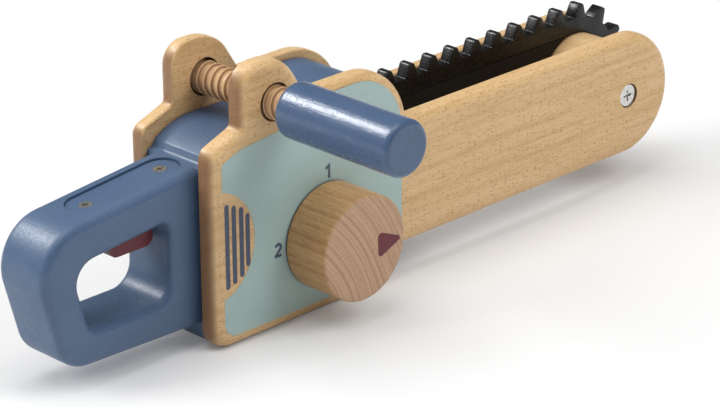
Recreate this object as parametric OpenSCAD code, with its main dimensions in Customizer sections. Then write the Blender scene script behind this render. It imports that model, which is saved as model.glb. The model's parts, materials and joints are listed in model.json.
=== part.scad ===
// Toy chainsaw in beech, with painted wood and a rubber chain. All sizes are in millimetres.
// X runs forward to the tip of the bar, Z up, and Y = 0 is the middle plane between the two boards.
// Lengths along X are measured from the rear edge of the side boards. The finished model is moved
// so that its origin is the middle of the body's underside.

/* [Side boards] */
// Thickness of each side board
board_t = 9; // [7:0.5:12]
// Length of the body, from the rear edge to the root of the bar
body_l = 115; // [105:1:145]
// Height of the hump over the front of the body
hump_h = 104; // [98:1:125]
// Height of the rear top corner of the boards
shoulder_h = 91; // [86:1:98]
// Distance of the front handle's axis from the rear edge
ear_x = 37; // [32:1:45]
// Height of the front handle's axis
ear_h = 105.5; // [102:0.5:112]
// Radius of the ears around the front handle's axis
ear_r = 19; // [16:0.5:23]
// Rounding of the boards' outer edges
board_edge_r = 5; // [2:0.5:5.5]

/* [Bar] */
// Length of the bar, from the front edge of the body to its tip
bar_l = 181; // [140:1:220]
// Width of the bar across its flat side
bar_w = 59.6; // [50:0.2:72]
// Height of the bar's middle line
bar_h = 45.7; // [40:0.1:56]

/* [Core and handle] */
// Width of the core between the boards
core_w = 35; // [29:0.5:42]
// How far the core stays below the top of the hump
core_inset = 3.6; // [2:0.1:6]
// Height of the core under the front handle
core_saddle_h = 91.7; // [88:0.1:94]
// Width of the handle
handle_w = 30; // [22:0.5:31]
// Length of the handle behind the boards, at the height of its underside
handle_l = 71.6; // [62:0.1:90]
// Height of the handle's top where it meets the boards
handle_top_h = 81.5; // [78:0.1:83]
// Height of the handle's underside where it meets the boards
handle_bottom_h = 9.6; // [5:0.1:11]
// Slope of the handle's underside, rising to the rear
handle_rise = 1.4; // [0:0.1:3]
// Slope of the handle's top, rising forward
handle_slope = 5.5; // [0:0.5:7]
// Lean of the handle's rear face
handle_lean = 15; // [5:0.1:18]
// Rounding of the handle's outer edges
handle_edge_r = 4; // [2:0.5:6]
// Height of the bar of wood above the finger gap
top_bar_t = 18.2; // [17:0.2:22]
// Length of the bar of wood behind the finger gap
rear_bar_t = 18; // [14:0.5:22]
// Height of the bar of wood below the finger gap
bottom_bar_t = 17; // [14:0.2:22]
// Wood left between the finger gap and the boards' rear edge
gap_front = 13.2; // [10:0.2:18]
// Rounding of the finger gap's mouth
gap_mouth_r = 3.5; // [1:0.5:4]

/* [Trigger and cover] */
// Length of the trigger
trigger_l = 23.6; // [20:0.2:28]
// Width of the trigger
trigger_w = 10; // [9:0.5:11]
// How far the trigger stands out of the handle
trigger_out = 10.7; // [6:0.1:12]
// How far the trigger can be pressed
trigger_travel = 4.5; // [2:0.1:4.8]
// Distance of the cover's middle behind the boards' rear edge
cover_back = 26.2; // [24:0.1:32]
// Distance between the cover's two screws
cover_screw_gap = 41.4; // [40:0.2:46]
// Width of the oblong cover
cover_w = 17.2; // [13:0.2:20]
// Thickness of the oblong cover
cover_t = 4; // [3:0.5:4.5]
// How far the cover lies below the handle's top
cover_sunk = 1; // [0.5:0.1:1.5]
// Turns of the trigger's return spring
spring_turns = 5; // [3:1:6]

/* [Dial] */
// Distance of the dial from the boards' rear edge
dial_x = 65.5; // [60:0.5:70]
// Height of the dial's axis
dial_h = 36.6; // [34:0.1:42]
// Radius of the dial's knob
knob_r = 24.2; // [18:0.2:28]
// Height of the knob over the board
knob_t = 24; // [16:0.5:32]
// Radius of the dial's wooden shaft
dial_shaft_r = 5; // [4:0.25:6]
// Radius of the wheel that clicks
click_wheel_r = 9.5; // [8:0.25:9.5]
// Number of notches in the wheel that clicks
click_notches = 12; // [8:1:16]

/* [Front handle] */
// Radius of the screw rod over its thread
rod_r = 7.5; // [6:0.1:9]
// Room around the rod in the ears
rod_room = 1.1; // [0.4:0.1:1.5]
// Length of rod left open between the ear and the grip
rod_open_l = 11; // [4:0.5:16]
// Radius of the grip
grip_r = 12.5; // [10.5:0.5:16]
// Length of the grip
grip_l = 67; // [50:1:85]
// Radius of the round nut on the rod's far end
nut_r = 11; // [10:0.5:16]
// Thickness of the round nut
nut_t = 5; // [4:0.5:12]

/* [Chain and rollers] */
// Radius of the two rollers that carry the chain
roller_r = 22.6; // [18:0.2:23]
// Distance of the rear roller's axle behind the front edge of the body
rear_axle_back = 12; // [6:0.5:12]
// Thickness of the chain's band
band_t = 7.6; // [4:0.2:8]
// Width of the chain
chain_w = 6.2; // [5:0.2:8]
// Distance of the chain from the middle plane, towards the left board
chain_offset = 11.1; // [-11.5:0.1:11.5]
// Height of the chain's teeth
tooth_h = 6.4; // [3:0.2:6.6]
// Distance between two teeth
tooth_pitch = 14.4; // [12:0.1:18]
// Place of the first tooth after the rear axle, as a part of the distance between two teeth
tooth_phase = 0.58; // [0:0.02:1]

/* [Fits] */
// Running clearance around a shaft
run_gap = 0.08; // [0.02:0.01:0.1]
// Glue gap around a fixed dowel
glue_gap = 0.05; // [0.02:0.01:0.1]
// Room between pieces that move past each other
free_gap = 0.3; // [0.2:0.05:0.5]

/* [Hidden] */
$fn = 64;

// Colours
beech = [0.82, 0.65, 0.44];
end_beech = [0.74, 0.55, 0.40];
blue_paint = [0.27, 0.36, 0.52];
maroon_paint = [0.36, 0.13, 0.18];
black_rubber = [0.06, 0.06, 0.06];
black_paint = [0.05, 0.045, 0.04];
steel = [0.75, 0.76, 0.78];

// Places that follow from the sizes above
core_y = core_w / 2;
board_y = core_y + board_t;
handle_y = handle_w / 2;
tip_x = body_l + bar_l - bar_w / 2;
rear_axle_x = body_l - rear_axle_back;
bar_top = bar_h + bar_w / 2;
bar_bottom = bar_h - bar_w / 2;
ear_top = ear_h + ear_r;
ear_hole_r = rod_r + rod_room;

// Fineness of the rounded outlines and edges, and a step too small to see between joined faces
arc_step = 6;
edge_steps = 5;
hair = 0.02;

// Board outline: two arcs never meet in one point, so full rounds are short of half by twice a hair
board_heel_r = 10;
board_toe_x = body_l - 3.5;
bar_fillet_r = 2.5;
board_toe_r = bar_bottom - bar_fillet_r - 0.4;
board_nape_r = 6;
bar_tip_r = bar_w / 2 - 2 * hair;
hump_front_x = body_l + 2.9;
hump_front_r = 31;
hump_front_angle = 80;
hump_fillet_r = 2;
ear_front_r = ear_r + 2;
ear_rear_r = ear_r - 8;
ear_flank_angle = 58;
ear_fillet_r = 6;
shoulder_slope = 20.5;
shoulder_fillet_r = 3;
inner_edge_r = 0.6;

// Core outline
core_rear_x = 3;
core_foot_x = board_toe_x - 6;
core_front_x = body_l - 1.5;
core_front_low = bar_bottom + 4;
core_top_h = hump_h - core_inset;
core_heel_r = 7;
core_toe_r = 5;
core_edge_r = 0.5;
core_front_r = 28;
core_rise_x = ear_x + ear_r;
core_rise_l = 24;
core_rise_r = 20;
step_foot_x = 5.5;
step_foot_r = 2.5;
step_h = 3.3;
step_angle = 60;
step_edge_r = 1.6;
dome_slope = 30;
dome_r = 36;

// Handle outline and finger gap
handle_root_x = 15;
handle_crown_r = 22;
handle_heel_r = 16.5;
gap_floor_h = handle_bottom_h + bottom_bar_t;
gap_small_r = 5;
gap_large_r = 10;

// Chain: a band on the two rollers with teeth that stand outwards, stiff along its outer face
chain_in_r = roller_r + free_gap;
chain_floor_r = chain_in_r + band_t;
chain_tip_r = chain_floor_r + tooth_h;
chain_run = tip_x - rear_axle_x;
chain_length = 2 * chain_run + 2 * PI * chain_floor_r;
chain_teeth = round(chain_length / tooth_pitch);
tooth_base_w = 8.1;
tooth_tip_w = 3.6;
tooth_bevel = 0.7;
chain_room = 1.9;
chain_side_room = 1.2;
roller_room = 1.3;
roller_half = core_y - free_gap;
roller_edge = 1;

// Chain guide: a block on the left board that fills the chain's loop between the two rollers
guide_half_h = chain_in_r - free_gap;
guide_hollow_r = roller_r + 0.6;
guide_rear_x = body_l + 1;
guide_front_x = tip_x - 8;

// Axles and dowels
dowel_r = 4;
dowel_places = [[12, 14], [16, 68], [60, 78], [rear_axle_x - 12, core_top_h - 10]];
blind_depth = 6;
dowel_half = core_y + blind_depth - free_gap;
rear_axle_r = 5;
sleeve_r = 4;
sleeve_floor_t = 2;
screw_r = 2.5;
axle_head_r = 5.3;
axle_head_t = 1.6;
axle_recess_r = 6;
axle_recess_d = 2.4;
axle_head_y = -board_y + axle_recess_d;
cross_w = 1.1;
cross_l = 5.4;
cross_d = 0.9;

// Dial
click_pocket_r = click_wheel_r + 2;
click_pocket_d = 9;
click_wheel_y = -core_y + free_gap;
click_wheel_t = 6;
click_notch_r = 1;
shaft_seat_d = 6.5;
reed_t = 0.5;
reed_w = 5;
reed_seat_l = 12;
reed_over = 3;
reed_h = dial_h - click_wheel_r - free_gap - reed_t;
reed_seat_x = dial_x - click_pocket_r - reed_seat_l;
knob_y = board_y + free_gap;
knob_edge_r = 1;
knob_bore_d = 18;

// Front handle
rod_in_grip = 45;
grip_rear_edge_r = 3.6;
grip_front_edge_r = 2.6;
grip_y = -board_y - rod_open_l;
nut_y = board_y + free_gap;
nut_edge_r = 1.5;
nut_floor_t = 1;
rod_end_y = nut_y + nut_t - nut_floor_t;

// Trigger and cover: depths are measured down from the handle's top, square to it
trigger_shift = -3;
trigger_edge_r = 4;
trigger_root_r = 0.2;
flange_out = 2;
flange_t = 4;
cover_gap = 0.25;
cover_seat = cover_sunk + cover_t;
flange_top = cover_seat + free_gap + trigger_travel;
flange_ledge = flange_top + flange_t;
trigger_low = top_bar_t * cos(handle_slope) + trigger_out;
cover_screw_r = 1.4;
cover_head_r = 3;
cover_head_t = 1.6;
cover_screw_l = 11;
cover_cross = 0.6;

// Trigger spring
spring_wire_r = 0.5;
spring_r = 2.9;
spring_sides = 6;
spring_turn_rings = 8;
spring_rings = spring_turn_rings * spring_turns;
spring_hole_r = spring_r + spring_wire_r + free_gap;
spring_hole_d = 6;
spring_end_gap = 0.1;
spring_low = -flange_top - spring_hole_d + spring_wire_r + spring_end_gap;
spring_high = -cover_seat - spring_wire_r - spring_end_gap;

// Outlines: a list of corners [x, z, radius], counterclockwise

function plane(c) = [c[0], c[1]];
function unit(v) = v / norm(v);
function left_of(v) = [-v[1], v[0]];
function way_in(c, i) = unit(plane(c[i]) - plane(c[(i + len(c) - 1) % len(c)]));
function way_out(c, i) = unit(plane(c[(i + 1) % len(c)]) - plane(c[i]));
function turn_side(c, i) = sign(cross(way_in(c, i), way_out(c, i)));
function turn_angle(c, i) = acos(way_in(c, i) * way_out(c, i));
function arc_pieces(c, i) = max(2, ceil(turn_angle(c, i) / arc_step));

// The sharp corner of the outline moved inwards by d
function sharp_corner(c, i, d) =
    plane(c[i]) + (left_of(way_in(c, i)) + left_of(way_out(c, i))) * d / (1 + way_in(c, i) * way_out(c, i));

// The same corner rounded by its own radius, which shrinks with the inset unless the corner is hollow
function corner_arc(c, i, d) =
    let (u = way_in(c, i),
         side = turn_side(c, i),
         turn = turn_angle(c, i),
         r = side > 0 ? c[i][2] - d : c[i][2],
         middle = sharp_corner(c, i, d) - u * r * tan(turn / 2) + left_of(u) * side * r,
         start = -left_of(u) * side,
         first = atan2(start[1], start[0]),
         n = arc_pieces(c, i))
    [for (k = [0:n]) let (a = first + side * turn * k / n) middle + r * [cos(a), sin(a)]];

function outline(c, d = 0) = [for (i = [0:len(c) - 1]) each corner_arc(c, i, d)];

// Number of an outline's first and last point on the arc of corner i
function arc_first(c, i) = i == 0 ? 0 : arc_first(c, i - 1) + arc_pieces(c, i - 1) + 1;
function arc_last(c, i) = arc_first(c, i) + arc_pieces(c, i);

// Rings of a rounded edge as pairs of inset and place along Y
// edge_in starts on the flat face at y0, and edge_out ends on the flat face at y1
function edge_in(r, y0) =
    [for (k = [0:edge_steps]) let (a = 90 * k / edge_steps) [r * (1 - sin(a)), y0 + r * (1 - cos(a))]];
function edge_out(r, y1) =
    [for (k = [0:edge_steps]) let (a = 90 * k / edge_steps) [r * (1 - cos(a)), y1 - r * (1 - sin(a))]];

function ring_points(c, rings) = [for (g = rings) [for (p = outline(c, g[0])) [p[0], g[1], p[1]]]];
function reversed(f) = [for (k = [len(f) - 1:-1:0]) f[k]];
// A face seen from its other side, with the same first point
function flipped(f) = [for (k = [0:len(f) - 1]) f[(len(f) - k) % len(f)]];
function count_up(n, from = 0) = [for (i = [0:n - 1]) from + i];

// Triangles between loops of n points each
function wall_faces(n, loops) =
    [for (k = [0:loops - 2], i = [0:n - 1])
        let (a = k * n + i, b = k * n + (i + 1) % n)
        each [[a, b, b + n], [a, b + n, a + n]]];

// A closed solid through loops of points, with a flat cap on the first and the last loop
module skin(loops) {
    n = len(loops[0]);
    caps = [reversed(count_up(n)), count_up(n, n * (len(loops) - 1))];
    polyhedron([for (l = loops) each l], concat(caps, wall_faces(n, len(loops))), convexity = 8);
}

// Small helpers

// A flat shape drawn in X and Z, given a thickness from y0 to y1
module across(y0, y1) {
    translate([0, y1, 0]) rotate([90, 0, 0]) linear_extrude(y1 - y0) children();
}

// A round bar along Y
module bar_y(x, z, r, y0, y1) {
    translate([x, y1, z]) rotate([90, 0, 0]) cylinder(r = r, h = y1 - y0);
}

// A shape turned about a line along Y, from half a profile drawn as radius and distance along -Y
module turned_y(x, z) {
    translate([x, 0, z]) rotate([90, 0, 0]) rotate_extrude() children();
}

module slot_shape(l, r) {
    translate([-l / 2, 0]) circle(r);
    translate([l / 2, 0]) circle(r);
    square([l, 2 * r], center = true);
}

module cross_recess(size = 1) {
    for (a = [0, 90])
        rotate(a) cube([cross_l * size, cross_w * size, 2 * cross_d], center = true);
}

module in_place() {
    translate([-body_l / 2, 0, 0]) children();
}

// Side boards

function board_corners() =
    let (hump_run = (hump_h - bar_top) / tan(hump_front_angle),
         flank_x = ear_x + ear_r,
         flank_run = 1 / tan(ear_flank_angle),
         shoulder_x = ear_x - ear_r)
    [
        [0, 0, board_heel_r],
        [board_toe_x, 0, board_toe_r],
        [board_toe_x, bar_bottom, bar_fillet_r],
        [body_l + bar_l, bar_bottom, bar_tip_r],
        [body_l + bar_l, bar_top, bar_tip_r],
        [hump_front_x, bar_top, hump_fillet_r],
        [hump_front_x - hump_run, hump_h, hump_front_r],
        [flank_x + (ear_h - hump_h) * flank_run, hump_h, ear_fillet_r],
        [flank_x - ear_r * flank_run, ear_top, ear_front_r],
        [shoulder_x, ear_top, ear_rear_r],
        [shoulder_x, shoulder_h + shoulder_x * tan(shoulder_slope), shoulder_fillet_r],
        [0, shoulder_h, board_nape_r]
    ];

// The board's flat face is cut into body, bar and ear along lines between its hollow corners
board_regions = [[0, 1, 2, 5, 6, 7, 10, 11], [3, 4, 5, 2], [8, 9, 10, 7]];

function is_hollow(c, i) = turn_side(c, i) < 0;

// Points of one region at corner m of its list: a whole arc, or a sharp hollow corner
// with the ends of its arc that lie on the region's border
function region_corner(c, g, m, base, sharp) =
    let (n = len(g), i = g[m], before = g[(m + n - 1) % n], after = g[(m + 1) % n])
    is_hollow(c, i)
        ? concat(before == i - 1 ? [base + arc_first(c, i)] : [], [sharp + i],
                 after == i + 1 ? [base + arc_last(c, i)] : [])
        : [for (k = [arc_first(c, i):arc_last(c, i)]) base + k];

// One region's points, started inside its first arc so that no three points of a fan are in line
function region_face(c, g, base, sharp) =
    let (loop = [for (m = [0:len(g) - 1]) each region_corner(c, g, m, base, sharp)],
         n = len(loop),
         skip = 3)
    [for (k = [0:n - 1]) loop[(k + skip) % n]];

function board_cap(c, base, sharp) = concat(
    [for (g = board_regions) region_face(c, g, base, sharp)],
    [for (i = [0:len(c) - 1]) if (is_hollow(c, i))
        concat([sharp + i], [for (k = [arc_first(c, i):arc_last(c, i)]) base + k])]);

module board_blank() {
    c = board_corners();
    rings = concat(edge_in(board_edge_r, -board_y), [[0, -core_y - inner_edge_r], [inner_edge_r, -core_y]]);
    loops = ring_points(c, rings);
    n = len(loops[0]);
    last = len(rings) - 1;
    sharp_points = [for (g = [rings[0], rings[last]], i = [0:len(c) - 1])
        let (p = sharp_corner(c, i, g[0])) [p[0], g[1], p[1]]];
    sharp_first = n * len(rings);
    outer = [for (f = board_cap(c, 0, sharp_first)) flipped(f)];
    inner = board_cap(c, n * last, sharp_first + len(c));
    polyhedron(concat([for (l = loops) each l], sharp_points),
               concat(outer, inner, wall_faces(n, len(rings))), convexity = 8);
}

// The right board, with the ear's hole, the tip axle's hole and the blind holes for dowels
module board_with_holes() {
    blind_y = -core_y - blind_depth;
    difference() {
        board_blank();
        bar_y(ear_x, ear_h, ear_hole_r, -board_y - 1, -core_y + 1);
        bar_y(tip_x, bar_h, sleeve_r + glue_gap, -board_y - 1, -core_y + 1);
        bar_y(tip_x, bar_h, axle_recess_r, -board_y - 1, axle_head_y);
        bar_y(rear_axle_x, bar_h, rear_axle_r + glue_gap, blind_y, -core_y + 1);
        for (p = dowel_places)
            bar_y(p[0], p[1], dowel_r + glue_gap, blind_y, -core_y + 1);
    }
}

module right_side_board() {
    color(beech) in_place() difference() {
        board_with_holes();
        bar_y(dial_x, dial_h, dial_shaft_r + run_gap, -board_y - 1, -core_y + 1);
    }
}

module left_side_board() {
    color(beech) in_place() mirror([0, 1, 0]) board_with_holes();
}

// Core and handle

function handle_top(x) = handle_top_h + x * tan(handle_slope);
function handle_bottom(x) = handle_bottom_h - x * tan(handle_rise);
function handle_rear(z) = -handle_l - (z - handle_bottom_h) * tan(handle_lean);

// Where the handle's top line and rear line meet, each moved in by its own distance
function handle_corner(down, forward) =
    let (s = tan(handle_slope),
         k = tan(handle_lean),
         z = (handle_top_h - down + s * (handle_rear(0) + forward)) / (1 + s * k))
    [handle_rear(z) + forward, z];

// Height of the handle's rear lower corner, where its rising underside meets its leaning rear face
handle_heel_h = handle_bottom_h + handle_l / (1 / tan(handle_rise) - tan(handle_lean));

function handle_corners() = [
    [handle_rear(handle_heel_h), handle_heel_h, handle_heel_r],
    [handle_root_x, handle_bottom(handle_root_x), handle_edge_r + 1],
    [handle_root_x, handle_top(handle_root_x), handle_edge_r + 1],
    concat(handle_corner(0, 0), [handle_crown_r])
];

function gap_corners() = [
    [handle_rear(gap_floor_h) + rear_bar_t, gap_floor_h, gap_small_r],
    [-gap_front, gap_floor_h, gap_large_r],
    [-gap_front, handle_top(-gap_front) - top_bar_t, gap_small_r],
    concat(handle_corner(top_bar_t, rear_bar_t), [gap_large_r])
];

module handle_blank() {
    rings = concat(edge_in(handle_edge_r, -handle_y), edge_out(handle_edge_r, handle_y));
    skin(ring_points(handle_corners(), rings));
}

// The finger gap, which widens towards both faces of the handle
module finger_gap() {
    far = [for (g = edge_out(gap_mouth_r, handle_y)) [-g[0], g[1]]];
    near = [for (g = reversed(far)) [g[0], -g[1]]];
    rings = concat([[-gap_mouth_r, -handle_y - 1]], near, far, [[-gap_mouth_r, handle_y + 1]]);
    skin(ring_points(gap_corners(), rings));
}

function core_corners() =
    let (foot_h = handle_top(step_foot_x) - hair,
         edge_x = step_foot_x + step_h / tan(step_angle),
         edge_h = foot_h + step_h,
         dome_x = edge_x + (core_saddle_h - edge_h) / tan(dome_slope))
    [
        [core_rear_x, 0, core_heel_r],
        [core_foot_x, 0, core_toe_r],
        [core_front_x, core_front_low, core_toe_r],
        [core_front_x, core_top_h, core_front_r],
        [core_rise_x + core_rise_l, core_top_h, core_rise_r],
        [core_rise_x, core_saddle_h, core_rise_r],
        [dome_x, core_saddle_h, dome_r],
        [edge_x, edge_h, step_edge_r],
        [step_foot_x, foot_h, step_foot_r],
        [core_rear_x, handle_top(core_rear_x) - hair, core_edge_r]
    ];

// A round hollow about the rear axle that is open at the front
module open_front(r, y0, y1) {
    across(y0, y1) translate([rear_axle_x, bar_h]) {
        circle(r);
        translate([0, -r]) square([rear_axle_back + 1, 2 * r]);
    }
}

// Room for the chain's rear end and its roller
module chain_room_cut() {
    half = chain_w / 2 + chain_side_room;
    open_front(chain_tip_r + chain_room, chain_offset - half, chain_offset + half);
    open_front(roller_r + roller_room, -core_y - 1, core_y + 1);
}

module dial_room_cut() {
    pocket_y = -core_y + click_pocket_d;
    bar_y(dial_x, dial_h, click_pocket_r, -core_y - 1, pocket_y);
    bar_y(dial_x, dial_h, dial_shaft_r + run_gap, pocket_y - 1, pocket_y + shaft_seat_d);
    translate([reed_seat_x - glue_gap, -core_y - 1, reed_h - glue_gap])
        cube([reed_seat_l + click_pocket_r, click_pocket_d + 1, reed_t + 2 * glue_gap]);
}

// The handle's top as a level floor: X along the top from the cover's middle, Z square to it
module on_handle_top() {
    translate([-cover_back, 0, handle_top(-cover_back)]) rotate([0, -handle_slope, 0]) children();
}

module at_cover_screws() {
    for (side = [-1, 1])
        translate([side * cover_screw_gap / 2, 0, -cover_sunk]) children();
}

// A block under the handle's top, from depth d0 to depth d1
module block_below(l, w, d0, d1) {
    translate([trigger_shift - l / 2, -w / 2, -d1]) cube([l, w, d1 - d0]);
}

module trigger_room_cut() {
    room_l = trigger_l + 2 * free_gap;
    room_w = trigger_w + 2 * free_gap;
    on_handle_top() {
        translate([0, 0, -cover_seat]) linear_extrude(cover_seat + 2)
            slot_shape(cover_screw_gap, cover_w / 2 + cover_gap);
        block_below(room_l + 2 * flange_out, room_w, cover_seat - 1, flange_ledge);
        block_below(room_l, room_w, flange_ledge - 1, trigger_low);
        at_cover_screws() translate([0, 0, -cover_screw_l])
            cylinder(r = cover_screw_r + glue_gap, h = cover_screw_l);
    }
}

module handle_core() {
    color(blue_paint) in_place() difference() {
        union() {
            across(-core_y, core_y) polygon(outline(core_corners()));
            handle_blank();
        }
        finger_gap();
        chain_room_cut();
        dial_room_cut();
        trigger_room_cut();
        for (p = dowel_places)
            bar_y(p[0], p[1], dowel_r + glue_gap, -core_y - 1, core_y + 1);
    }
}

module joining_dowels() {
    color(end_beech) in_place()
        for (p = dowel_places)
            bar_y(p[0], p[1], dowel_r, -dowel_half, dowel_half);
}

// Chain and rollers

// Place on the band's outer face at a distance along it: [x, z, turn], from the rear axle over the top
function on_loop(s) =
    let (bend = PI * chain_floor_r,
         tip_turn = (s - chain_run) / bend * 180,
         rear_turn = (s - 2 * chain_run) / bend * 180)
    s < chain_run ? [rear_axle_x + s, bar_h + chain_floor_r, 0]
    : s < chain_run + bend ? on_round(tip_x, tip_turn)
    : s < 2 * chain_run + bend ? [tip_x - (s - chain_run - bend), bar_h - chain_floor_r, 180]
    : on_round(rear_axle_x, rear_turn);

function on_round(x, a) = [x + chain_floor_r * sin(a), bar_h + chain_floor_r * cos(a), a];

module loop_shape(r) {
    translate([(rear_axle_x + tip_x) / 2, bar_h]) slot_shape(chain_run, r);
}

// A tooth on the band's outer face, sunk a little so that it also joins the bent band
module tooth_shape() {
    sunk = 1;
    base = tooth_base_w / 2;
    tip = tooth_tip_w / 2;
    right = [[base, -sunk], [base, 0], [tip, tooth_h - tooth_bevel], [tip - tooth_bevel, tooth_h]];
    polygon(concat(right, [for (p = reversed(right)) [-p[0], p[1]]]));
}

module chain_belt() {
    color(black_rubber) in_place() across(chain_offset - chain_w / 2, chain_offset + chain_w / 2) {
        difference() {
            loop_shape(chain_floor_r);
            loop_shape(chain_in_r);
        }
        for (i = [0:chain_teeth - 1]) {
            p = on_loop((i + tooth_phase) * chain_length / chain_teeth);
            translate([p[0], p[1]]) rotate(-p[2]) tooth_shape();
        }
    }
}

module chain_guide() {
    color(black_paint) in_place() across(chain_offset - chain_w / 2, core_y) difference() {
        translate([guide_rear_x, bar_h - guide_half_h])
            square([guide_front_x - guide_rear_x, 2 * guide_half_h]);
        for (x = [rear_axle_x, tip_x])
            translate([x, bar_h]) circle(guide_hollow_r);
    }
}

module roller(x, bore_r) {
    face = [[bore_r, roller_half], [roller_r - roller_edge, roller_half]];
    half = concat(face, [[roller_r, roller_half - roller_edge]]);
    turned_y(x, bar_h) polygon(concat(half, [for (p = reversed(half)) [p[0], -p[1]]]));
}

module tip_roller() {
    color(beech) in_place() roller(tip_x, sleeve_r + run_gap);
}

module rear_roller() {
    color(beech) in_place() roller(rear_axle_x, rear_axle_r + run_gap);
}

module rear_axle_dowel() {
    color(end_beech) in_place() bar_y(rear_axle_x, bar_h, rear_axle_r, -dowel_half, dowel_half);
}

// A flat round head in the right board's recess, with a cross
module axle_head() {
    difference() {
        bar_y(tip_x, bar_h, axle_head_r, axle_head_y - axle_head_t, axle_head_y);
        translate([tip_x, axle_head_y - axle_head_t, bar_h]) rotate([90, 0, 0]) cross_recess();
    }
}

// Threaded sleeve through both boards from the left
module tip_axle_sleeve() {
    color(steel) in_place() mirror([0, 1, 0]) difference() {
        union() {
            axle_head();
            bar_y(tip_x, bar_h, sleeve_r, axle_head_y - hair, -axle_head_y - glue_gap);
        }
        bar_y(tip_x, bar_h, screw_r + glue_gap, axle_head_y + sleeve_floor_t, board_y);
    }
}

// Screw into the sleeve from the right
module tip_axle_screw() {
    color(steel) in_place() {
        axle_head();
        bar_y(tip_x, bar_h, screw_r, axle_head_y - hair, axle_head_y + core_w);
    }
}

// Dial

module dial_knob() {
    color(end_beech) in_place() difference() {
        turned_y(dial_x, dial_h) round_bar_half(knob_r, knob_y, knob_y + knob_t, knob_edge_r, knob_edge_r);
        bar_y(dial_x, dial_h, dial_shaft_r + glue_gap, -knob_y - knob_bore_d, -knob_y + 1);
    }
}

module dial_shaft() {
    seat_y = -core_y + click_pocket_d + shaft_seat_d;
    color(end_beech) in_place()
        bar_y(dial_x, dial_h, dial_shaft_r, -knob_y - knob_bore_d + free_gap, seat_y - free_gap);
}

module click_wheel() {
    y0 = click_wheel_y - 1;
    y1 = click_wheel_y + click_wheel_t + 1;
    color(beech) in_place() difference() {
        bar_y(dial_x, dial_h, click_wheel_r, click_wheel_y, click_wheel_y + click_wheel_t);
        bar_y(dial_x, dial_h, dial_shaft_r + glue_gap, y0, y1);
        for (i = [0:click_notches - 1]) {
            a = 360 * (i + 0.5) / click_notches;
            bar_y(dial_x + click_wheel_r * sin(a), dial_h + click_wheel_r * cos(a), click_notch_r, y0, y1);
        }
    }
}

// A leaf held in a saw cut, with its free end just under the wheel
module click_reed() {
    color(steel) in_place() translate([reed_seat_x, click_wheel_y, reed_h])
        cube([dial_x + reed_over - reed_seat_x, reed_w, reed_t]);
}

// Front handle

module screw_rod() {
    color(beech) in_place() bar_y(ear_x, ear_h, rod_r, grip_y - rod_in_grip, rod_end_y);
}

// Half profile of a round bar with rounded edges, from distance a to distance b
module round_bar_half(r, a, b, edge_a, edge_b) {
    translate([0, a]) square([r - edge_a, edge_a]);
    translate([0, a + edge_a]) square([r, b - a - edge_a - edge_b]);
    translate([0, b - edge_b]) square([r - edge_b, edge_b]);
    intersection() {
        translate([r - edge_a, a + edge_a]) circle(edge_a);
        translate([r - edge_a, a]) square(edge_a);
    }
    intersection() {
        translate([r - edge_b, b - edge_b]) circle(edge_b);
        translate([r - edge_b, b - edge_b]) square(edge_b);
    }
}

module front_grip() {
    color(blue_paint) in_place() difference() {
        turned_y(ear_x, ear_h)
            round_bar_half(grip_r, -grip_y, grip_l - grip_y, grip_rear_edge_r, grip_front_edge_r);
        bar_y(ear_x, ear_h, rod_r + glue_gap, grip_y - rod_in_grip - 1, grip_y + 1);
    }
}

module rod_nut() {
    color(beech) in_place() difference() {
        turned_y(ear_x, ear_h) round_bar_half(nut_r, -nut_y - nut_t, -nut_y, nut_edge_r, nut_edge_r);
        bar_y(ear_x, ear_h, rod_r + glue_gap, nut_y - 1, rod_end_y + free_gap);
    }
}

// Trigger and cover

// The trigger's underside is level, though its sides are square to the sloping top
function trigger_corners() =
    let (end = trigger_l / 2, drop = end * tan(handle_slope))
    [
        [-end, -trigger_low + drop, trigger_edge_r],
        [end, -trigger_low - drop, trigger_edge_r],
        [end, -flange_ledge + 1, trigger_root_r],
        [-end, -flange_ledge + 1, trigger_root_r]
    ];

module trigger() {
    color(maroon_paint) in_place() on_handle_top() difference() {
        union() {
            block_below(trigger_l + 2 * flange_out, trigger_w, flange_top, flange_ledge);
            across(-trigger_w / 2, trigger_w / 2) translate([trigger_shift, 0])
                polygon(outline(trigger_corners()));
        }
        translate([trigger_shift, 0, -flange_top - spring_hole_d])
            cylinder(r = spring_hole_r, h = spring_hole_d + 1);
    }
}

// Return spring: one helical wire from the bottom of the trigger's hole to the cover
spring_pitch = (spring_high - spring_low) / spring_turns;
function spring_point(t) = [spring_r * cos(t), spring_r * sin(t), spring_low + spring_pitch * t / 360];

function spring_ring(t) =
    let (out = [cos(t), sin(t), 0],
         ahead = unit([-spring_r * sin(t), spring_r * cos(t), spring_pitch / (2 * PI)]),
         up = cross(ahead, out))
    [for (a = [0:360 / spring_sides:359]) spring_point(t) + spring_wire_r * (cos(a) * out - sin(a) * up)];

// Least gap between one turn of the wire and the next
spring_angles = [for (k = [0:spring_rings]) 360 * k / spring_turn_rings];
spring_gap = min([for (a = spring_angles, b = spring_angles) if (b - a > 180)
    norm(spring_point(a) - spring_point(b))]) - 2 * spring_wire_r;
echo(least_gap_of_trigger_spring = spring_gap);

module trigger_spring() {
    color(steel) in_place() on_handle_top() translate([trigger_shift, 0, 0])
        skin([for (t = spring_angles) spring_ring(t)]);
}

// A screw's shank and countersunk head, or with a gap around them the hole for it
module cover_screw_shape(gap, low, high) {
    translate([0, 0, low]) cylinder(r = cover_screw_r + gap, h = -cover_head_t + hair - low);
    translate([0, 0, -cover_head_t])
        cylinder(r1 = cover_screw_r + gap, r2 = cover_head_r + gap, h = cover_head_t + high);
}

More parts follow.
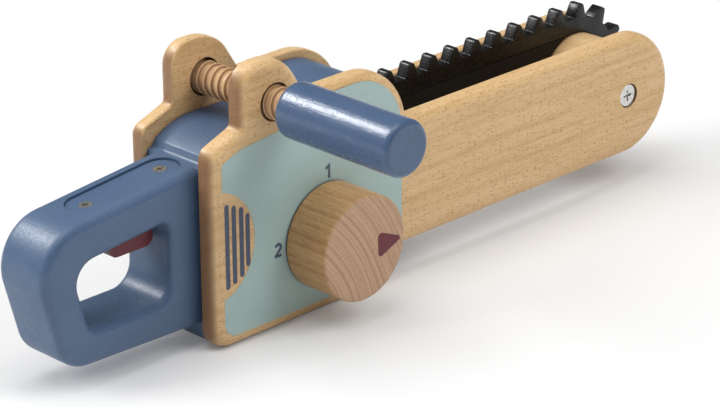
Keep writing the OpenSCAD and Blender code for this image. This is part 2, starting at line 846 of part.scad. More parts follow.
module handle_cover() {
    color(blue_paint) in_place() on_handle_top() difference() {
        translate([0, 0, -cover_seat]) linear_extrude(cover_t) slot_shape(cover_screw_gap, cover_w / 2);
        at_cover_screws() cover_screw_shape(glue_gap, -cover_t - 1, hair);
    }
}

module cover_screws() {
    color(steel) in_place() on_handle_top() at_cover_screws() difference() {
        cover_screw_shape(0, free_gap - cover_screw_l, 0);
        cross_recess(cover_cross);
    }
}

handle_core();
right_side_board();
left_side_board();
joining_dowels();
chain_belt();
chain_guide();
tip_roller();
tip_axle_sleeve();
tip_axle_screw();
rear_roller();
rear_axle_dowel();
dial_knob();
dial_shaft();
click_wheel();
click_reed();
screw_rod();
front_grip();
rod_nut();
trigger();
trigger_spring();
handle_cover();
cover_screws();
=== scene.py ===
"""Looks of a wooden toy chainsaw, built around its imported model."""
import json
import math

import bmesh
import bpy
from mathutils import Matrix, Vector


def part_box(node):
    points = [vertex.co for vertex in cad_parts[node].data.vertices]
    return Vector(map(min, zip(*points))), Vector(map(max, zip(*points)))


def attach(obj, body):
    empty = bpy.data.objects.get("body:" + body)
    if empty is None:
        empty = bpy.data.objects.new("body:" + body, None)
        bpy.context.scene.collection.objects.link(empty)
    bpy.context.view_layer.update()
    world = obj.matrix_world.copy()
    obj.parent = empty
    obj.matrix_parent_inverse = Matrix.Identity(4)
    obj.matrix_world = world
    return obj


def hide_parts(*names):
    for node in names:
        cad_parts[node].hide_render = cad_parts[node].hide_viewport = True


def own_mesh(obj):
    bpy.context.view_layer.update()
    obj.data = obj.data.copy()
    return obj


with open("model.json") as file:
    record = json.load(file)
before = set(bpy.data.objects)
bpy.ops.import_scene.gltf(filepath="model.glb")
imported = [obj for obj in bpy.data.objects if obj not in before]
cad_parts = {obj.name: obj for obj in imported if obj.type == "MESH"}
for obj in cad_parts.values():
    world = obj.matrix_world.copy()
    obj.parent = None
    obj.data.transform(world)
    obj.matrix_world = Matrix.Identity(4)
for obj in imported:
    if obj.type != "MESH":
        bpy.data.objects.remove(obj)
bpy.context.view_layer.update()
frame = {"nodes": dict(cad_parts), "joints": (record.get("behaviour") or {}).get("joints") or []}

MM = 0.001
nodes = frame["nodes"]

# Places that come from the frame, in metres
board_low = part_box("right_side_board")[0]
REAR_X = board_low.x
RIGHT_FACE_Y = board_low.y
LEFT_FACE_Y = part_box("left_side_board")[1].y
KNOB_FACE_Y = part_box("dial_knob")[0].y
joint_place = {j["name"]: Vector(j["pos_m"]) for j in frame["joints"] if "pos_m" in j}
DIAL = joint_place["dial_turn"]
ROD = joint_place["front_handle_turn"]
# The dial's axis on the board's face, in millimetres from the board's rear edge and underside
DIAL_ON_FACE = Vector(((DIAL.x - REAR_X) / MM, DIAL.z / MM))


# Helpers

def add_piece(name, data):
    """A new object in the scene."""
    piece = bpy.data.objects.new(name, data)
    bpy.context.scene.collection.objects.link(piece)
    return piece


class Surface:
    """A material with one Principled shader, and short ways to add nodes to it."""

    def __init__(self, name):
        self.material = bpy.data.materials.new(name)
        self.material.use_nodes = True
        self.tree = self.material.node_tree
        self.shader = self.tree.nodes["Principled BSDF"]

    def put(self, socket, value):
        """Links a socket, or sets a plain value."""
        if isinstance(value, bpy.types.NodeSocket):
            self.tree.links.new(value, socket)
        else:
            socket.default_value = value

    def add(self, kind, inputs=None, out=0, **settings):
        """Adds a node and returns one of its outputs."""
        node = self.tree.nodes.new("ShaderNode" + kind)
        for key, value in settings.items():
            setattr(node, key, value)
        for key, value in (inputs or {}).items():
            self.put(node.inputs[key], value)
        return node.outputs[out]

    def math(self, operation, a, b=0.0):
        return self.add("Math", {0: a, 1: b}, operation=operation)

    def vector(self, operation, a, b):
        return self.add("VectorMath", {0: a, 1: b}, operation=operation)

    def length(self, a):
        return self.add("VectorMath", {0: a}, out="Value", operation="LENGTH")

    def mix(self, amount, a, b):
        """A colour between a and b."""
        return self.add("Mix", {0: amount, 6: a, 7: b}, out=2, data_type="RGBA")

    def ramp(self, value, start, end, low=0.0, high=1.0):
        """A smooth step from low at start to high at end."""
        inputs = {"Value": value, 1: start, 2: end, 3: low, 4: high}
        return self.add("MapRange", inputs, interpolation_type="SMOOTHSTEP")

    def noise(self, coords, scale=1.0, detail=2.0, roughness=0.5):
        inputs = {"Vector": coords, "Scale": scale, "Detail": detail, "Roughness": roughness}
        return self.add("TexNoise", inputs)

    def millimetres(self):
        """Places on the piece itself, in millimetres."""
        coords = self.add("TexCoord", out="Object")
        return self.vector("MULTIPLY", coords, (1000.0, 1000.0, 1000.0))

    def crevice(self, reach_mm):
        """How open a place is to its surroundings, from 0 in a narrow gap to 1 in the open."""
        inputs = {"Distance": reach_mm * MM}
        return self.add("AmbientOcclusion", inputs, out="AO", samples=6)

    def bump(self, height, depth_mm):
        """A normal for a height that goes from 0 to 1 over that depth."""
        return self.add("Bump", {"Height": height, "Strength": 1.0, "Distance": depth_mm * MM})

    def finish(self, **inputs):
        """Sets the shader's own sockets, with _ for a space in their names."""
        for key, value in inputs.items():
            self.put(self.shader.inputs[key.replace("_", " ")], value)
        return self.material


def srgb(red, green, blue):
    """A colour as it shows on screen, from 0 to 255, as a linear colour."""
    def linear(value):
        value /= 255
        return value / 12.92 if value <= 0.04045 else ((value + 0.055) / 1.055) ** 2.4
    return (linear(red), linear(green), linear(blue), 1.0)


# Materials

# For a grain along one axis: that axis, then the two across it
AXES = {"X": ("X", "Y", "Z"), "Y": ("Y", "Z", "X")}
BEECH_LIGHT = srgb(232, 198, 149)
BEECH_DARK = srgb(208, 168, 116)
# End grain is darker than the face; this tone is also darkened further as painted shade for the boards' rear
# edges
BEECH_END_AND_SHADE = srgb(154, 116, 82)
FLECK_BROWN = srgb(158, 104, 56)
PORE_BROWN = srgb(116, 82, 54)
# Painted shade: dark colours mixed in where nearby surfaces hem a place in, in gaps, recesses and grooves
WOOD_CREVICE_SHADE = srgb(112, 78, 50)
PAINT_CREVICE_SHADE = srgb(22, 24, 28)
STEEL_CREVICE_SHADE = srgb(40, 40, 42)


def growth_rings(look, coords, pith_mm, ring_mm, ring_warp):
    """How much late wood there is, from 0 to 1, in rings round a pith line along the grain."""
    warp = look.noise(look.vector("MULTIPLY", coords, (0.012, 0.05, 0.05)), detail=3.0)
    from_pith = look.vector("SUBTRACT", coords, (0.0, *pith_mm))
    distance = look.length(look.vector("MULTIPLY", from_pith, (0.0, 1.0, 1.0)))
    even_ring = look.math("DIVIDE", distance, ring_mm)
    ring = look.math("ADD", even_ring, look.math("MULTIPLY", warp, ring_warp))
    band = look.add("TexNoise", {"W": ring, "Scale": 1.0, "Detail": 2.0}, noise_dimensions="1D")
    return look.ramp(band, 0.42, 0.68)


def short_flecks(look, coords):
    """Short flecks along the grain, from 0 beside them to 1 in their middle."""
    place = look.vector("MULTIPLY", coords, (0.34, 1.5, 1.35))
    cell = look.add("TexVoronoi", {"Vector": place, "Scale": 1.0, "Randomness": 1.0}).node
    chance = look.add("SeparateXYZ", {0: cell.outputs["Color"]})
    spot = look.ramp(cell.outputs["Distance"], 0.42, 0.16)
    return look.math("MULTIPLY", spot, look.ramp(chance, 0.1, 0.7))


def end_grain(look, coords, late_wood, end, end_depth):
    """The colour of wood that is cut across its grain, with dark pores."""
    pores = look.noise(look.vector("MULTIPLY", coords, (0.5, 2.2, 2.2)), detail=3.0, roughness=0.7)
    pore = look.math("MULTIPLY", look.ramp(pores, 0.45, 0.68), 0.6)
    tone = look.math("ADD", look.math("MULTIPLY", late_wood, end_depth), pore)
    return look.mix(look.math("MINIMUM", tone, 1.0), end, PORE_BROWN)


def beech(name, grain, pith_mm, light=BEECH_LIGHT, dark=BEECH_DARK, end=BEECH_END_AND_SHADE, ring_mm=4.5,
          ring_warp=2.2, ring_depth=0.3, end_depth=0.12, fleck_depth=0.6, seed=0.0):
    """Lacquered beech: growth rings, soft streaks along the grain and short dark flecks."""
    look = Surface(name)
    place = look.add("SeparateXYZ", {0: look.millimetres()}).node
    facing = look.add("SeparateXYZ", {0: look.add("TexCoord", out="Normal")}).node
    along, side, up = (place.outputs[axis] for axis in AXES[grain])
    coords = look.add("CombineXYZ", {0: look.math("ADD", along, seed), 1: side, 2: up})
    late_wood = growth_rings(look, coords, pith_mm, ring_mm, ring_warp)
    streak = look.noise(look.vector("MULTIPLY", coords, (0.012, 0.3, 0.3)), detail=4.0, roughness=0.6)
    fibre = look.noise(look.vector("MULTIPLY", coords, (0.2, 3.0, 3.0)), detail=3.0, roughness=0.6)
    fleck = short_flecks(look, coords)

    rings = look.math("MULTIPLY", late_wood, ring_depth)
    tone = look.math("ADD", rings, look.ramp(streak, 0.3, 0.75, 0.0, 0.4))
    tone = look.math("ADD", tone, look.ramp(fibre, 0.35, 0.7, 0.0, 0.45))
    face_colour = look.mix(look.math("MINIMUM", tone, 1.0), light, dark)
    face_colour = look.mix(look.math("MULTIPLY", fleck, fleck_depth), face_colour, FLECK_BROWN)
    end_colour = end_grain(look, coords, late_wood, end, end_depth)
    across = look.math("ABSOLUTE", facing.outputs[AXES[grain][0]])
    colour = look.mix(look.ramp(across, 0.5, 1.0), face_colour, end_colour)
    # Painted shade: narrow gaps and grooves, such as the rod's thread, are darkened in the colour
    unshaded = look.ramp(look.crevice(reach_mm=3.0), 0.2, 0.8)

    height = look.math("SUBTRACT", look.math("MULTIPLY", fibre, 0.5), fleck)
    return look.finish(
        Base_Color=look.mix(unshaded, WOOD_CREVICE_SHADE, colour),
        Roughness=look.ramp(streak, 0.3, 0.75, 0.36, 0.5),
        Normal=look.bump(height, depth_mm=0.05),
        Specular_IOR_Level=0.4,
    )


def painted(name, colour, shade, grain, roughness=0.42):
    """Satin paint on wood: soft patches, a fine roller texture and a trace of the grain below."""
    look = Surface(name)
    place = look.add("SeparateXYZ", {0: look.millimetres()}).node
    coords = look.add("CombineXYZ", dict(enumerate(place.outputs[axis] for axis in AXES[grain])))
    patch = look.noise(look.vector("MULTIPLY", coords, (0.03, 0.05, 0.05)), detail=3.0)
    stipple = look.noise(coords, scale=0.8, detail=4.0, roughness=0.7)
    fibre = look.noise(look.vector("MULTIPLY", coords, (0.08, 1.4, 1.4)), detail=2.0)
    height = look.math("ADD", look.math("MULTIPLY", fibre, 0.4), look.math("MULTIPLY", stipple, 0.6))
    tone = look.math("ADD", look.ramp(patch, 0.3, 0.75, 0.0, 0.5), look.ramp(stipple, 0.4, 0.7, 0.0, 0.5))
    cover = look.mix(tone, colour, shade)
    # Painted shade: the paint's colour is darkened in narrow gaps, such as round the handle's cover
    gap = look.ramp(look.crevice(reach_mm=2.0), 0.15, 0.7, 0.75, 0.0)
    return look.finish(
        Base_Color=look.mix(gap, cover, PAINT_CREVICE_SHADE),
        Roughness=look.ramp(stipple, 0.3, 0.75, roughness - 0.06, roughness + 0.08),
        Normal=look.bump(height, depth_mm=0.16),
        Specular_IOR_Level=0.5,
    )


def printed(name, colour, shade):
    """Thin printed ink with a slightly uneven cover."""
    look = Surface(name)
    cover = look.noise(look.millimetres(), scale=1.6, detail=4.0, roughness=0.65)
    return look.finish(
        Base_Color=look.mix(look.ramp(cover, 0.4, 0.7), colour, shade),
        Roughness=look.ramp(cover, 0.3, 0.7, 0.45, 0.58),
        Normal=look.bump(cover, depth_mm=0.02),
    )


def rubber(name):
    """Moulded black rubber with a fine grain and a little dust."""
    look = Surface(name)
    coords = look.millimetres()
    grain = look.noise(coords, scale=1.8, detail=4.0, roughness=0.65)
    dust = look.noise(coords, scale=0.12, detail=3.0)
    return look.finish(
        Base_Color=look.mix(look.ramp(dust, 0.45, 0.75), srgb(11, 11, 12), srgb(18, 17, 17)),
        Roughness=look.ramp(grain, 0.3, 0.7, 0.22, 0.36),
        Normal=look.bump(grain, depth_mm=0.05),
        Specular_IOR_Level=0.35,
    )


def plated_steel(name):
    """Zinc plated steel with turning marks and faint stains."""
    look = Surface(name)
    coords = look.millimetres()
    marks = look.noise(look.vector("MULTIPLY", coords, (6.0, 1.0, 6.0)), detail=3.0, roughness=0.6)
    stain = look.noise(coords, scale=0.7, detail=3.0)
    plating = look.mix(look.ramp(stain, 0.4, 0.75), srgb(222, 222, 220), srgb(186, 185, 180))
    # Painted shade: recesses such as the screws' cross slots are darkened in the colour
    unshaded = look.ramp(look.crevice(reach_mm=0.6), 0.3, 0.7)
    return look.finish(
        Base_Color=look.mix(unshaded, STEEL_CREVICE_SHADE, plating),
        Metallic=1.0,
        Roughness=look.ramp(marks, 0.3, 0.7, 0.24, 0.4),
        Normal=look.bump(marks, depth_mm=0.01),
    )


# From the dial's axis to the pith line of its knob
KNOB_PITH_DOWN_MM = 45.0
KNOB_PITH_BACK_MM = 75.0
knob_pith_mm = (DIAL.z / MM - KNOB_PITH_DOWN_MM, DIAL.x / MM - KNOB_PITH_BACK_MM)

board_wood = beech("beech_board", grain="X", pith_mm=(-70.0, -60.0))
left_wood = beech("beech_left_board", grain="X", pith_mm=(75.0, 150.0), seed=240.0)
roller_wood = beech("beech_roller", grain="Y", pith_mm=(30.0, 190.0), seed=70.0)
knob_wood = beech(
    "beech_knob", grain="Y", pith_mm=knob_pith_mm,
    light=srgb(208, 168, 118), dark=srgb(160, 118, 74), end=srgb(206, 168, 136),
    ring_mm=1.7, ring_warp=0.9, ring_depth=0.25, end_depth=0.3, fleck_depth=0.45, seed=33.0,
)
rod_wood = beech(
    "beech_rod", grain="Y", pith_mm=(90.0, -10.0),
    light=srgb(232, 196, 152), dark=srgb(198, 156, 114), fleck_depth=0.1, seed=11.0,
)
dowel_wood = beech("beech_dowel", grain="Y", pith_mm=(0.0, 0.0), seed=5.0)
blue_paint = painted("blue_paint", srgb(82, 105, 135), srgb(70, 93, 123), grain="X")
grip_paint = painted("blue_grip_paint", srgb(78, 100, 132), srgb(68, 90, 121), grain="Y", roughness=0.27)
mint_paint = painted("mint_paint", srgb(174, 198, 195), srgb(167, 191, 188), grain="X", roughness=0.46)
maroon_paint = painted("maroon_paint", srgb(108, 34, 42), srgb(96, 30, 37), grain="X")
black_paint = painted("black_paint", srgb(13, 11, 10), srgb(17, 15, 13), grain="X", roughness=0.7)
slate_print = printed("slate_print", srgb(72, 82, 106), srgb(80, 90, 112))
maroon_print = printed("maroon_print", srgb(104, 36, 50), srgb(97, 33, 46))
black_rubber = rubber("black_rubber")
steel = plated_steel("plated_steel")

NODE_MATERIALS = {
    "handle_core": blue_paint,
    "handle_cover": blue_paint,
    "front_grip": grip_paint,
    "right_side_board": board_wood,
    "left_side_board": left_wood,
    "joining_dowels": dowel_wood,
    "chain_belt": black_rubber,
    "chain_guide": black_paint,
    "tip_roller": roller_wood,
    "rear_roller": roller_wood,
    "rear_axle_dowel": dowel_wood,
    "tip_axle_sleeve": steel,
    "tip_axle_screw": steel,
    "dial_knob": knob_wood,
    "dial_shaft": knob_wood,
    "click_wheel": knob_wood,
    "click_reed": steel,
    "screw_rod": rod_wood,
    "rod_nut": rod_wood,
    "trigger": maroon_paint,
    "trigger_spring": steel,
    "cover_screws": steel,
}


# Shading and edges of the carried-over nodes

SMOOTH_ANGLE = math.radians(28.0)
WELD_DISTANCE = 0.001 * MM
SMOOTHED_NODES = ["handle_core", "right_side_board", "left_side_board", "trigger", "chain_belt"]
CHAIN_EDGE_MM = 0.8
CHAIN_EDGE_STEPS = 3


def smooth_group():
    """Geometry nodes that shade a mesh smoothly, except over edges sharper than the angle."""
    group = bpy.data.node_groups.new("smooth_by_angle", "GeometryNodeTree")
    group.interface.new_socket("Geometry", in_out="INPUT", socket_type="NodeSocketGeometry")
    group.interface.new_socket("Geometry", in_out="OUTPUT", socket_type="NodeSocketGeometry")
    start = group.nodes.new("NodeGroupInput")
    end = group.nodes.new("NodeGroupOutput")
    weld = group.nodes.new("GeometryNodeMergeByDistance")
    weld.inputs["Distance"].default_value = WELD_DISTANCE
    bend = group.nodes.new("GeometryNodeInputMeshEdgeAngle")
    sharp = group.nodes.new("FunctionNodeCompare")
    sharp.operation = "GREATER_THAN"
    sharp.inputs[1].default_value = SMOOTH_ANGLE
    normal = group.nodes.new("GeometryNodeSetMeshNormal")
    normal.mode = "SHARPNESS"
    group.links.new(start.outputs[0], weld.inputs["Geometry"])
    group.links.new(weld.outputs["Geometry"], normal.inputs["Mesh"])
    group.links.new(bend.outputs["Unsigned Angle"], sharp.inputs[0])
    group.links.new(sharp.outputs[0], normal.inputs["Edge Sharpness"])
    group.links.new(normal.outputs["Mesh"], end.inputs[0])
    return group


def finish_nodes():
    """Gives each node its material, the moulded chain soft edges, and the listed nodes smooth shading."""
    for name, material in NODE_MATERIALS.items():
        mesh = nodes[name].data
        mesh.materials.clear()
        mesh.materials.append(material)
    chain = nodes["chain_belt"]
    chain.modifiers.new("weld", "WELD").merge_threshold = WELD_DISTANCE
    edge = chain.modifiers.new("edge", "BEVEL")
    edge.width = CHAIN_EDGE_MM * MM
    edge.segments = CHAIN_EDGE_STEPS
    edge.limit_method = "ANGLE"
    edge.angle_limit = SMOOTH_ANGLE
    group = smooth_group()
    for name in SMOOTHED_NODES:
        nodes[name].modifiers.new("smooth", "NODES").node_group = group


# Thin paint and print on flat faces, with sizes in millimetres

SKIN_MM = 0.12
ARC_STEPS = 10


def rounded(corners):
    """An outline through corners [x, z, radius], counterclockwise, with each corner as an arc."""
    points = []
    count = len(corners)
    for i, (x, z, radius) in enumerate(corners):
        corner = Vector((x, z))
        back = (Vector(corners[i - 1][:2]) - corner).normalized()
        ahead = (Vector(corners[(i + 1) % count][:2]) - corner).normalized()
        half = back.angle(ahead) / 2
        centre = corner + (back + ahead).normalized() * radius / math.sin(half)
        start = corner + back * radius / math.tan(half) - centre
        sweep = back.angle_signed(-ahead)
        for k in range(ARC_STEPS + 1):
            turn = Matrix.Rotation(-sweep * k / ARC_STEPS, 2)
            points.append(centre + turn @ start)
    return points


def ellipse(x, z, radius_x, radius_z, start=0.0, end=360.0, steps=48):
    """Points of an ellipse's arc, in degrees counterclockwise from +X."""
    angles = [math.radians(start + (end - start) * k / steps) for k in range(steps + 1)]
    return [Vector((x + radius_x * math.cos(a), z + radius_z * math.sin(a))) for a in angles]


def on_face(face_y, side):
    """Turns flat X and Y into X and Z of the board's face, in millimetres from its rear edge."""
    across = Matrix(((1, 0, 0, 0), (0, 0, -1, 0), (0, 1, 0, 0), (0, 0, 0, 1)))
    place = Matrix.Translation((REAR_X, face_y + side * SKIN_MM * MM / 2, 0.0))
    return place @ across @ Matrix.Scale(MM, 4)


def keep_as_mesh(curve, name, place, material, body):
    """Turns a flat curve into a mesh piece that rides on a body."""
    maker = add_piece(name + "_curve", curve)
    graph = bpy.context.evaluated_depsgraph_get()
    mesh = bpy.data.meshes.new_from_object(maker.evaluated_get(graph))
    bpy.data.objects.remove(maker)
    mesh.name = name
    mesh.transform(place)
    mesh.materials.clear()
    mesh.materials.append(material)
    piece = add_piece(name, mesh)
    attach(piece, body)


def flat_piece(name, loops, place, material, body):
    """A thin skin inside closed loops of points. A loop inside another is a hole."""
    curve = bpy.data.curves.new(name, "CURVE")
    curve.dimensions = "2D"
    curve.fill_mode = "BOTH"
    curve.extrude = SKIN_MM / 2
    for loop in loops:
        spline = curve.splines.new("POLY")
        spline.points.add(len(loop) - 1)
        spline.use_cyclic_u = True
        for point, at in zip(spline.points, loop):
            point.co = (at.x, at.y, 0.0, 1.0)
    keep_as_mesh(curve, name, place, material, body)


PANEL_LEFT = 5.5
# Each corner's X, Z and radius
PANEL_CORNERS = [
    (PANEL_LEFT, 5.7, 7.0),
    (101.0, 5.7, 8.0),
    (112.6, 22.0, 10.0),
    (112.6, 101.1, 28.0),
    (72.0, 101.1, 12.0),
    (42.0, 92.4, 40.0),
    (16.3, 89.7, 14.0),
    (PANEL_LEFT, 85.8, 3.0),
]
VENT_CENTRE_Z = 48.5
VENT_RADII = (23.5, 25.5)
# Each line's X, and the Z of its low and high end
VENT_LINES = [(7.8, 28.2, 67.2), (11.8, 29.7, 65.6), (16.0, 31.6, 63.8), (19.6, 35.6, 60.0)]
VENT_LINE_WIDTH = 2.4
SHAFT_HOLE_R = 8.0


def panel_loops(shaft):
    """The painted panel's outline less the bare patch at its rear edge, with a hole where it has a shaft."""
    reach = math.degrees(math.acos(PANEL_LEFT / VENT_RADII[0]))
    patch = ellipse(0.0, VENT_CENTRE_Z, *VENT_RADII, start=reach, end=-reach)
    loops = [rounded(PANEL_CORNERS) + patch]
    if shaft:
        loops.append(ellipse(*DIAL_ON_FACE, SHAFT_HOLE_R, SHAFT_HOLE_R)[:-1])
    return loops


def vent_loops():
    """The dark lines on the bare patch, with round ends."""
    loops = []
    for x, low, high in VENT_LINES:
        half = VENT_LINE_WIDTH / 2
        top = ellipse(x, high - half, half, half, 0.0, 180.0, 12)
        bottom = ellipse(x, low + half, half, half, 180.0, 360.0, 12)
        loops.append(top + bottom)
    return loops


def paint_boards():
    """Mint panels and vent lines on both boards."""
    right = on_face(RIGHT_FACE_Y, -1)
    left = on_face(LEFT_FACE_Y, 1)
    flat_piece("mint_panel_right", panel_loops(shaft=True), right, mint_paint, "frame")
    flat_piece("mint_panel_left", panel_loops(shaft=False), left, mint_paint, "frame")
    flat_piece("vent_lines_right", vent_loops(), right, slate_print, "frame")
    flat_piece("vent_lines_left", vent_loops(), left, slate_print, "frame")


NUMBER_HALF_HEIGHT = 2.7
NUMBER_STROKE = 1.3
# The least cosine at a bend, which keeps a sharp corner of a stroke short
SHARPEST_MITRE = 0.6
ONE_AT = DIAL_ON_FACE + Vector((1.9, 28.7))
TWO_AT = DIAL_ON_FACE + Vector((-28.5, 0.9))
TWO_BOW_R = 1.5


def stroke(points, width):
    """The outline of a pen stroke along a line of points."""
    left, right = [], []
    for i, point in enumerate(points):
        before = (point - points[i - 1]).normalized() if i else Vector((0.0, 0.0))
        after = (points[i + 1] - point).normalized() if i + 1 < len(points) else Vector((0.0, 0.0))
        ahead = (before + after).normalized()
        half = width / 2 / max(SHARPEST_MITRE, ahead.dot(before if i else after))
        side = Vector((-ahead.y, ahead.x)) * half
        left.append(point + side)
        right.append(point - side)
    return left + right[::-1]


def number_one():
    """A short flag and an upright."""
    top = NUMBER_HALF_HEIGHT
    line = ((-1.5, top - 1.3), (0.5, top), (0.5, -top - 0.5))
    return [ONE_AT + Vector(point) for point in line]


def number_two():
    """A bow, a slanting neck and a level foot."""
    top = NUMBER_HALF_HEIGHT
    bow = ellipse(TWO_AT.x, TWO_AT.y + top - TWO_BOW_R, TWO_BOW_R, TWO_BOW_R, 165.0, -35.0, 20)
    foot = ((-TWO_BOW_R, -top + 0.2), (-TWO_BOW_R + 0.3, -top), (TWO_BOW_R + 0.3, -top))
    return bow + [TWO_AT + Vector(point) for point in foot]


def print_numbers():
    """The two plain numbers beside the dial."""
    place = on_face(RIGHT_FACE_Y - SKIN_MM * MM, -1)
    for name, line in (("dial_number_1", number_one()), ("dial_number_2", number_two())):
        flat_piece(name, [stroke(line, NUMBER_STROKE)], place, slate_print, "frame")


# Each corner's X and Z from the dial's axis, and its radius
POINTER_CORNERS = [(8.2, -7.3, 1.6), (23.1, -1.0, 1.2), (7.8, 5.4, 2.0)]


def print_pointer():
    """The dial's pointer on the end of its knob."""
    place = on_face(KNOB_FACE_Y, -1)
    outline = [DIAL_ON_FACE + point for point in rounded(POINTER_CORNERS)]
    flat_piece("dial_pointer", [outline], place, maroon_print, "dial")


# Threaded rod

THREAD_PITCH_MM = 4.15
THREAD_DEPTH_MM = 1.5
THREAD_SIDES = 72
THREAD_STEPS = 16
# The open tube reaches past each end of the rod by this many turns or more
THREAD_LEAD = 0.1
GROOVE_SHARE = 0.6
FLANK_SHARE = 0.25
# A face that points along the rod more than this is its flat end
END_FACING = 0.99


def thread_height(turn):
    """How far the thread stands out at a part of one turn, from 0 in the groove to 1 on the crest."""
    away = abs(turn % 1.0 - 0.5) * 2
    rise = min(1.0, max(0.0, (away - GROOVE_SHARE) / FLANK_SHARE))
    return rise * rise * (3 - 2 * rise)


def thread_mesh(low, high):
    """A tube whose rows of points follow the helix. It reaches past low and high, and is open there."""
    crest = (high.z - low.z) / 2
    pitch = THREAD_PITCH_MM * MM
    rows = math.ceil((high.y - low.y) / pitch + 1 + 2 * THREAD_LEAD) * THREAD_STEPS
    points = []
    for i in range(rows + 1):
        radius = crest - THREAD_DEPTH_MM * MM * (1 - thread_height(i / THREAD_STEPS))
        for k in range(THREAD_SIDES):
            y = low.y + pitch * (i / THREAD_STEPS - k / THREAD_SIDES - THREAD_LEAD)
            angle = 2 * math.pi * k / THREAD_SIDES
            points.append((ROD.x + radius * math.cos(angle), y, ROD.z + radius * math.sin(angle)))

    def index(i, k):
        """A point's place in the list. A full turn round leads to the row one pitch back."""
        return i * THREAD_SIDES + k if k < THREAD_SIDES else (i - THREAD_STEPS) * THREAD_SIDES

    faces = []
    for i in range(rows):
        for k in range(THREAD_SIDES):
            if k + 1 < THREAD_SIDES or i >= THREAD_STEPS:
                faces.append([index(i, k), index(i + 1, k), index(i + 1, k + 1), index(i, k + 1)])
    mesh = bpy.data.meshes.new("threaded_rod")
    mesh.from_pydata(points, [], faces)
    return mesh


def cut_flat(shape, y, outward):
    """Cuts an open tube off at y and closes it there."""
    whole = shape.verts[:] + shape.edges[:] + shape.faces[:]
    cut = bmesh.ops.bisect_plane(
        shape, geom=whole, plane_co=(0, y, 0), plane_no=(0, outward, 0), clear_outer=True
    )
    rim = [piece for piece in cut["geom_cut"] if isinstance(piece, bmesh.types.BMEdge)]
    bmesh.ops.edgeloop_fill(shape, edges=rim)


def make_rod():
    """The wooden screw: a threaded tube, cut flat and closed at both ends."""
    low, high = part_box("screw_rod")
    mesh = thread_mesh(low, high)
    mesh.materials.append(rod_wood)
    shape = bmesh.new()
    shape.from_mesh(mesh)
    cut_flat(shape, low.y, -1)
    cut_flat(shape, high.y, 1)
    bmesh.ops.recalc_face_normals(shape, faces=shape.faces)
    for face in shape.faces:
        face.smooth = abs(face.normal.y) < END_FACING
    shape.to_mesh(mesh)
    shape.free()
    rod = add_piece("threaded_rod", mesh)
    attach(rod, "front_handle")
    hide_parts("screw_rod")


# Trigger spring

def make_spring():
    """The trigger's spring, as a mesh of its own fixed to the frame."""
    mesh = nodes["trigger_spring"].data.copy()
    mesh.name = "return_spring"
    spring = add_piece("return_spring", mesh)
    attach(spring, "frame")
    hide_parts("trigger_spring")
    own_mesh(spring)


# Camera, floor and light, with lengths in metres unless a name says mm

CAMERA_PLACE = Vector((-0.88447, -0.95158, 0.58895))
# Angles in degrees
CAMERA_AZIMUTH = -44.642
CAMERA_ELEVATION = 22.731
CAMERA_ROLL = -0.424
CAMERA_LENS_MM = 160.87
CAMERA_SENSOR_MM = 36.0


def make_camera():
    """The photograph's view."""
    azimuth = math.radians(CAMERA_AZIMUTH)
    elevation = math.radians(CAMERA_ELEVATION)
    flat = Vector((math.sin(azimuth), -math.cos(azimuth), 0.0))
    back = flat * math.cos(elevation) + Vector((0.0, 0.0, math.sin(elevation)))
    right = Vector((math.cos(azimuth), math.sin(azimuth), 0.0))
    turn = Matrix((right, back.cross(right), back)).transposed().to_4x4()
    camera = bpy.data.cameras.new("camera")
    camera.lens = CAMERA_LENS_MM
    camera.sensor_width = CAMERA_SENSOR_MM
    roll = Matrix.Rotation(math.radians(CAMERA_ROLL), 4, "Z")
    piece = add_piece("camera", camera)
    piece.matrix_world = Matrix.Translation(CAMERA_PLACE) @ turn @ roll
    bpy.context.scene.camera = piece


FLOOR_HALF = 6.0
FLOOR_GREY = 0.8
FLOOR_GLOW = 0.12
FADE_START = 0.2
FADE_END = 1.6


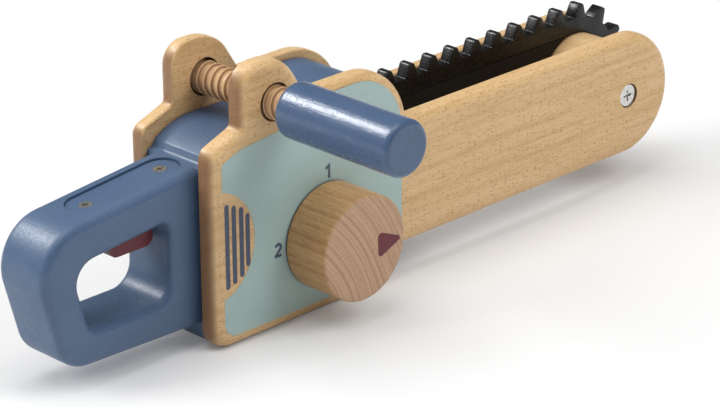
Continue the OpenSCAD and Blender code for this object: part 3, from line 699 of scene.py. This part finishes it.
def make_floor():
    """A white floor that keeps the shadow and fades to plain white far from the toy."""
    mesh = bpy.data.meshes.new("floor")
    corners = [(x * FLOOR_HALF, y * FLOOR_HALF, 0) for x, y in ((-1, -1), (1, -1), (1, 1), (-1, 1))]
    mesh.from_pydata(corners, [], [[0, 1, 2, 3]])
    look = Surface("floor")
    path = look.add("LightPath").node
    seen = look.math("MAXIMUM", path.outputs["Is Camera Ray"], path.outputs["Is Glossy Ray"])
    far = look.length(look.add("TexCoord", out="Object"))
    glow = look.ramp(far, FADE_START, FADE_END, FLOOR_GLOW, 1.0)
    look.finish(
        Base_Color=(FLOOR_GREY, FLOOR_GREY, FLOOR_GREY, 1.0),
        Roughness=0.9,
        Specular_IOR_Level=0.1,
        Emission_Color=(1.0, 1.0, 1.0, 1.0),
        Emission_Strength=look.math("MULTIPLY", seen, glow),
    )
    mesh.materials.append(look.material)
    floor = add_piece("floor", mesh)


LAMP_AIM = Vector((0.04, 0.0, 0.06))


def make_lamp(name, place, size, power, light=True, shine=True):
    """A soft square lamp that points at the middle of the toy, for plain light, reflections or both."""
    lamp = bpy.data.lights.new(name, "AREA")
    lamp.size = size
    lamp.energy = power
    piece = add_piece(name, lamp)
    aim = LAMP_AIM - Vector(place)
    piece.matrix_world = Matrix.Translation(place) @ aim.to_track_quat("-Z", "Y").to_matrix().to_4x4()
    piece.visible_camera = False
    piece.visible_diffuse = light
    piece.visible_glossy = shine


SKY_LIGHT = 0.17


def make_sky():
    """Even soft light from all round, which the camera sees as white."""
    world = bpy.data.worlds.new("sky")
    bpy.context.scene.world = world
    world.use_nodes = True
    tree = world.node_tree
    path = tree.nodes.new("ShaderNodeLightPath")
    strength = tree.nodes.new("ShaderNodeMapRange")
    strength.inputs["To Min"].default_value = SKY_LIGHT
    strength.inputs["To Max"].default_value = 1.0
    tree.links.new(path.outputs["Is Camera Ray"], strength.inputs["Value"])
    tree.links.new(strength.outputs[0], tree.nodes["Background"].inputs["Strength"])
    tree.nodes["Background"].inputs["Color"].default_value = (1.0, 1.0, 1.0, 1.0)


def light_scene():
    """Soft light from above, the left and the front, and a reflection from behind."""
    make_sky()
    make_lamp("key", (-0.3, 0.1, 1.8), size=1.4, power=18.5)
    make_lamp("back", (-0.6, 1.25, 1.3), size=0.45, power=27.0, light=False)
    make_lamp("left", (-1.2, 0.85, 0.95), size=0.9, power=16.5, shine=False)
    make_lamp("front", (0.6, -1.1, 1.3), size=1.0, power=14.0, shine=False)


finish_nodes()
paint_boards()
print_numbers()
print_pointer()
make_rod()
make_spring()
make_camera()
make_floor()
light_scene()
bpy.context.scene.view_settings.view_transform = "Standard"
